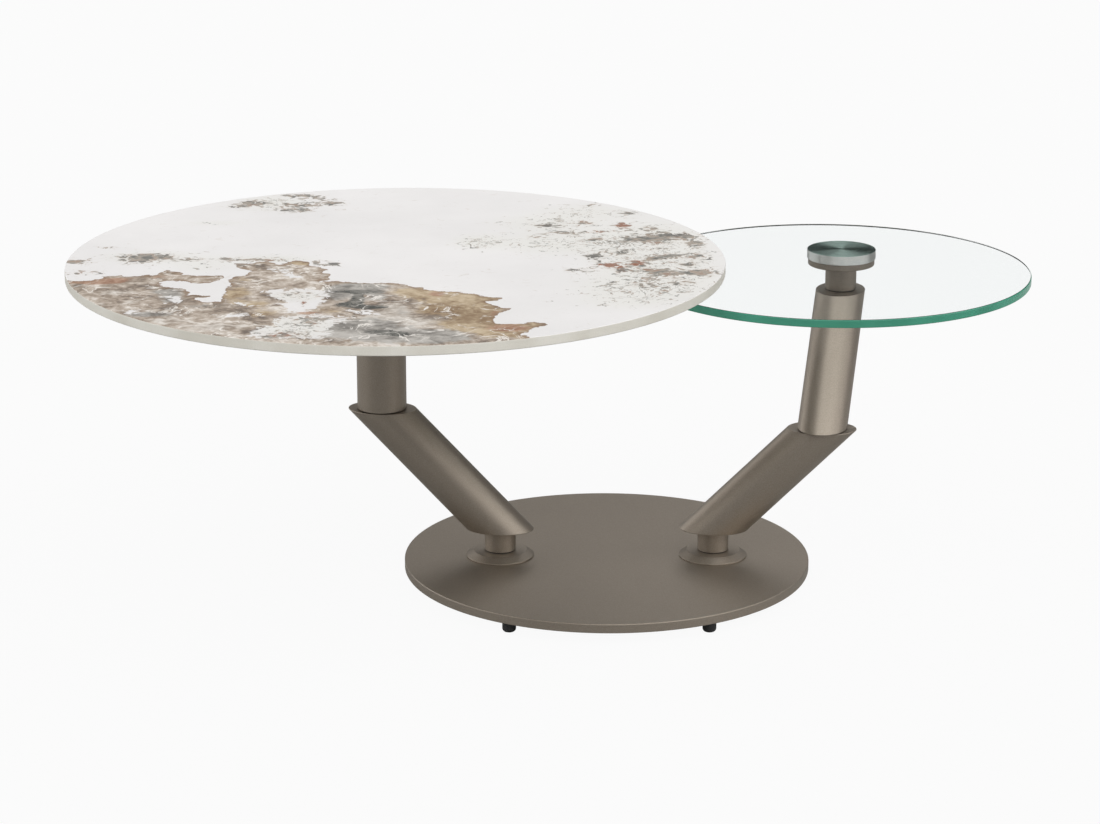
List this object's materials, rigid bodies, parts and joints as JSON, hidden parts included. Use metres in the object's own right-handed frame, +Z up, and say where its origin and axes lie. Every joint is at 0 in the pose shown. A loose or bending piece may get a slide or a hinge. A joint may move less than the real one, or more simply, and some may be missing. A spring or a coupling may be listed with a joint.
{
  "type": "swivel coffee table",
  "caption": "Coffee table with a large marbled stone top and a smaller, lower glass top, each on a slanted tubular arm that swivels on a round steel base disc.",
  "frame": {"origin": "on the floor under the middle of the base disc", "axes": "+X from the stone top towards the glass top, +Z up"},
  "size_m": [1.1888, 0.7999, 0.449],
  "materials": {
    "taupe_powder_coat": "satin powder coat in taupe bronze",
    "sintered_stone": "satin sintered stone with brown, grey and rust marbling",
    "clear_glass": "clear tempered glass with a polished green edge",
    "turned_steel": "bright steel faced on a lathe",
    "zinc_steel": "zinc plated steel",
    "black_rubber": "matt black rubber",
    "black_plastic": "black acetal",
    "bush_plastic": "natural acetal",
    "silicone_bond": "grey silicone adhesive"
  },
  "bodies": {
    "base": {"base_plate": "taupe_powder_coat", "glide_feet": "black_rubber", "foot_screws": "zinc_steel", "base_spindle_bolts": "zinc_steel", "left_base_collar": "taupe_powder_coat", "left_base_spindle": "zinc_steel", "left_base_thrust_washer": "black_plastic", "left_base_retaining_washer": "zinc_steel", "left_base_nut": "zinc_steel", "right_base_collar": "taupe_powder_coat", "right_base_spindle": "zinc_steel", "right_base_thrust_washer": "black_plastic", "right_base_retaining_washer": "zinc_steel", "right_base_nut": "zinc_steel"},
    "left_arm": {"left_post": "taupe_powder_coat", "left_post_bush": "bush_plastic", "left_lower_tube": "taupe_powder_coat", "left_lower_foot_cap": "taupe_powder_coat", "left_lower_head_cap": "taupe_powder_coat", "left_elbow_spindle": "zinc_steel", "left_elbow_thrust_washer": "black_plastic", "left_elbow_retaining_washer": "zinc_steel", "left_elbow_nut": "zinc_steel"},
    "right_arm": {"right_post": "taupe_powder_coat", "right_post_bush": "bush_plastic", "right_lower_tube": "taupe_powder_coat", "right_lower_foot_cap": "taupe_powder_coat", "right_lower_head_cap": "taupe_powder_coat", "right_elbow_spindle": "zinc_steel", "right_elbow_thrust_washer": "black_plastic", "right_elbow_retaining_washer": "zinc_steel", "right_elbow_nut": "zinc_steel"},
    "stone_column": {"column_tube": "taupe_powder_coat", "column_foot_plate": "taupe_powder_coat", "column_bush": "bush_plastic", "column_flange": "taupe_powder_coat", "stone_mount_plate": "taupe_powder_coat", "mount_screws": "zinc_steel", "stone_bond": "silicone_bond", "stone_top": "sintered_stone"},
    "upper_arm": {"upper_tube": "taupe_powder_coat", "upper_foot_cap": "taupe_powder_coat", "upper_head_cap": "taupe_powder_coat", "upper_bush": "bush_plastic", "neck_spindle": "zinc_steel", "neck_thrust_washer": "black_plastic", "neck_retaining_washer": "zinc_steel", "neck_nut": "zinc_steel"},
    "glass_table": {"glass_neck": "taupe_powder_coat", "neck_bush": "bush_plastic", "glass_flange": "taupe_powder_coat", "glass_puck": "turned_steel", "glass_screw": "zinc_steel", "glass_top": "clear_glass"}
  },
  "joints": [
    {"name": "left_arm_swivel", "type": "hinge", "parent": "base", "child": "left_arm", "pos_m": [-0.137, 0, 0.035], "axis": [0, 0, 1], "range_deg": [-45, 45]},
    {"name": "stone_swivel", "type": "hinge", "parent": "left_arm", "child": "stone_column", "pos_m": [-0.28812, 0.02692, 0.216], "axis": [0, 0, 1], "continuous": true},
    {"name": "right_arm_swivel", "type": "hinge", "parent": "base", "child": "right_arm", "pos_m": [0.137, 0, 0.035], "axis": [0, 0, 1], "range_deg": [-45, 45]},
    {"name": "upper_arm_swivel", "type": "hinge", "parent": "right_arm", "child": "upper_arm", "pos_m": [0.27376, -0.00813, 0.1995], "axis": [0, 0, 1], "range_deg": [-60, 60]},
    {"name": "glass_swivel", "type": "hinge", "parent": "upper_arm", "child": "glass_table", "pos_m": [0.30299, 0.10912, 0.3445], "axis": [0, 0, 1], "range_deg": [-90, 90]}
  ]
}
